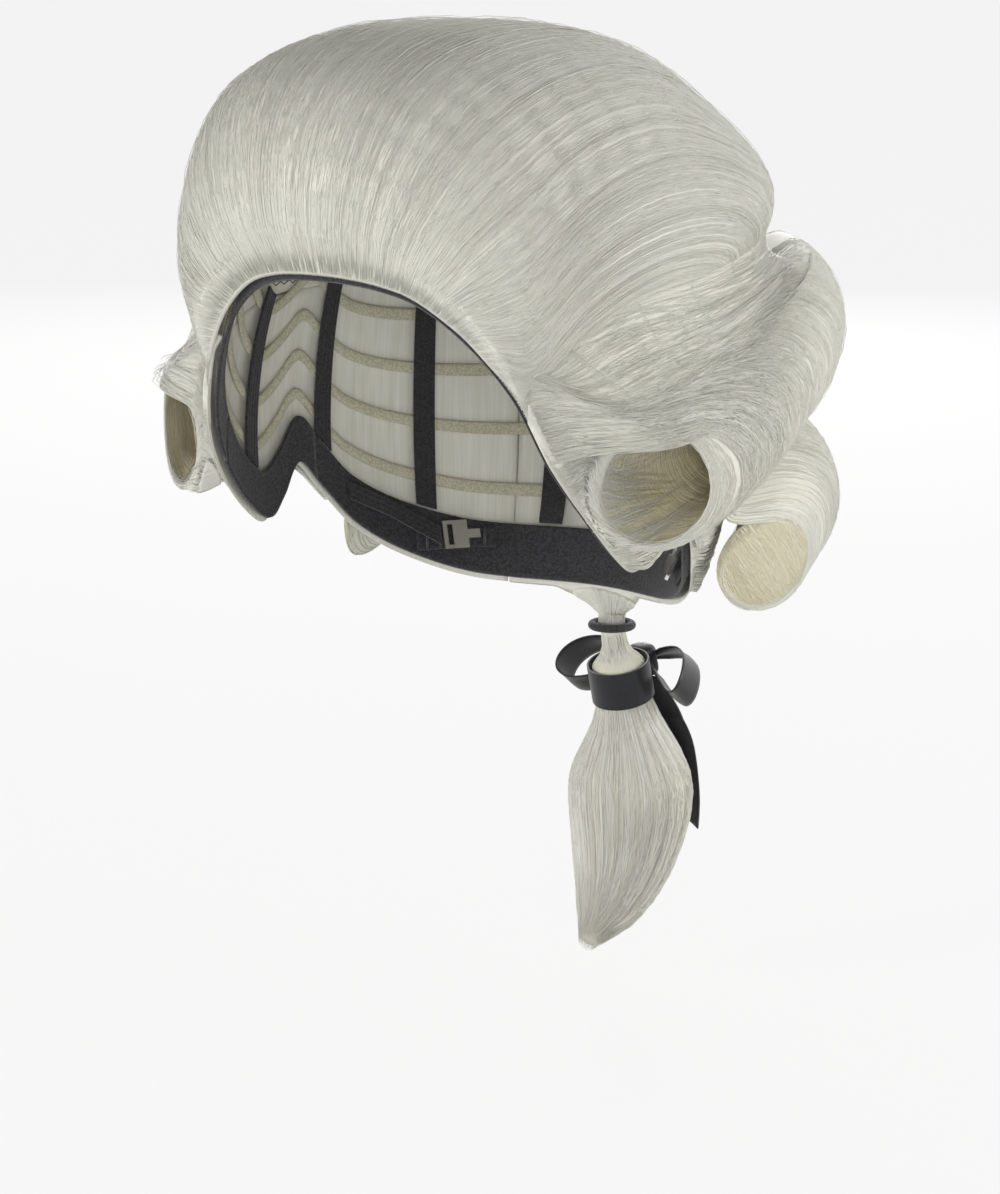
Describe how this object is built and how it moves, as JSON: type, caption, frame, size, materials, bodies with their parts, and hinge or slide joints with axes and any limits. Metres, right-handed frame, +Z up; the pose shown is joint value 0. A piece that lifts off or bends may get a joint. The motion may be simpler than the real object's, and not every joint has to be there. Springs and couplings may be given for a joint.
{
  "type": "costume wig",
  "caption": "White period costume wig with a combed-back puffed crown, rolled barrel curls at the sides and a ribbon-tied queue on an open fitted cap.",
  "frame": {"origin": "middle of the head space, level with the tops of the ears", "axes": "+Z up out of the crown, -Y out of the face, +X to the wearer's left"},
  "size_m": [0.2338, 0.2214, 0.3349],
  "materials": {
    "hair": "ivory fibre, satin along the strands",
    "cap_net": "matt knitted net and tape",
    "elastic": "matt woven elastic",
    "ribbon": "satin weave",
    "hook_metal": "plain wire"
  },
  "bodies": {
    "cap": {"crown_net": "cap_net", "front_band": "cap_net", "nape_band": "cap_net", "left_ear_tab": "cap_net", "right_ear_tab": "cap_net", "cap_elastics": "elastic", "weft_rows": "hair", "left_loop_tape": "elastic", "right_loop_tape": "elastic", "left_adjust_strap": "elastic", "right_adjust_strap": "elastic", "crown_hair": "hair", "left_side_hair": "hair", "right_side_hair": "hair", "back_hair": "hair", "nape_hair": "hair"},
    "left_upper_curl": {"left_upper_curl": "hair"},
    "left_lower_curl": {"left_lower_curl": "hair"},
    "right_upper_curl": {"right_upper_curl": "hair"},
    "right_lower_curl": {"right_lower_curl": "hair"},
    "hair_tie": {"hair_tie": "elastic"},
    "queue": {"queue_hair": "hair", "ribbon_wrap": "ribbon", "bow_knot": "ribbon", "left_bow_loop": "ribbon", "right_bow_loop": "ribbon"},
    "left_bow_tail": {"left_bow_tail": "ribbon"},
    "right_bow_tail": {"right_bow_tail": "ribbon"},
    "left_hook": {"left_strap_hook": "hook_metal"},
    "right_hook": {"right_strap_hook": "hook_metal"}
  },
  "joints": [
    {"name": "left_upper_curl_lift", "type": "hinge", "parent": "cap", "child": "left_upper_curl", "pos_m": [0.07729, 0.02216, 0.04357], "axis": [0.2113, -0.9744, -0.0764], "range_deg": [0, 15]},
    {"name": "left_lower_curl_lift", "type": "hinge", "parent": "cap", "child": "left_lower_curl", "pos_m": [0.06518, 0.06869, 0.00047], "axis": [0.5099, -0.7605, -0.402], "range_deg": [0, 15]},
    {"name": "right_upper_curl_lift", "type": "hinge", "parent": "cap", "child": "right_upper_curl", "pos_m": [-0.07729, 0.02216, 0.04357], "axis": [0.2113, 0.9744, 0.0764], "range_deg": [0, 15]},
    {"name": "right_lower_curl_lift", "type": "hinge", "parent": "cap", "child": "right_lower_curl", "pos_m": [-0.06518, 0.06869, 0.00047], "axis": [0.5099, 0.7605, 0.402], "range_deg": [0, 15]},
    {"name": "queue_sway", "type": "hinge", "parent": "cap", "child": "hair_tie", "pos_m": [0, 0.09, -0.075], "axis": [0, 1, 0], "range_deg": [-20, 20]},
    {"name": "queue_lift", "type": "hinge", "parent": "hair_tie", "child": "queue", "pos_m": [0, 0.09, -0.075], "axis": [1, 0, 0], "range_deg": [0, 30]},
    {"name": "left_bow_tail_lift", "type": "hinge", "parent": "queue", "child": "left_bow_tail", "pos_m": [0.004, 0.11291, -0.09756], "axis": [1, 0, 0], "range_deg": [0, 30]},
    {"name": "right_bow_tail_lift", "type": "hinge", "parent": "queue", "child": "right_bow_tail", "pos_m": [-0.004, 0.11291, -0.09756], "axis": [1, 0, 0], "range_deg": [0, 30]},
    {"name": "left_hook_shift", "type": "hinge", "parent": "cap", "child": "left_hook", "pos_m": [-0.01523, 0.01192, -0.04263], "axis": [0, 0, 1], "range_deg": [-9, 9], "deforming": ["left_adjust_strap"]},
    {"name": "right_hook_shift", "type": "hinge", "parent": "cap", "child": "right_hook", "pos_m": [0.01523, 0.01192, -0.04263], "axis": [0, 0, -1], "range_deg": [-9, 9], "deforming": ["right_adjust_strap"]}
  ]
}
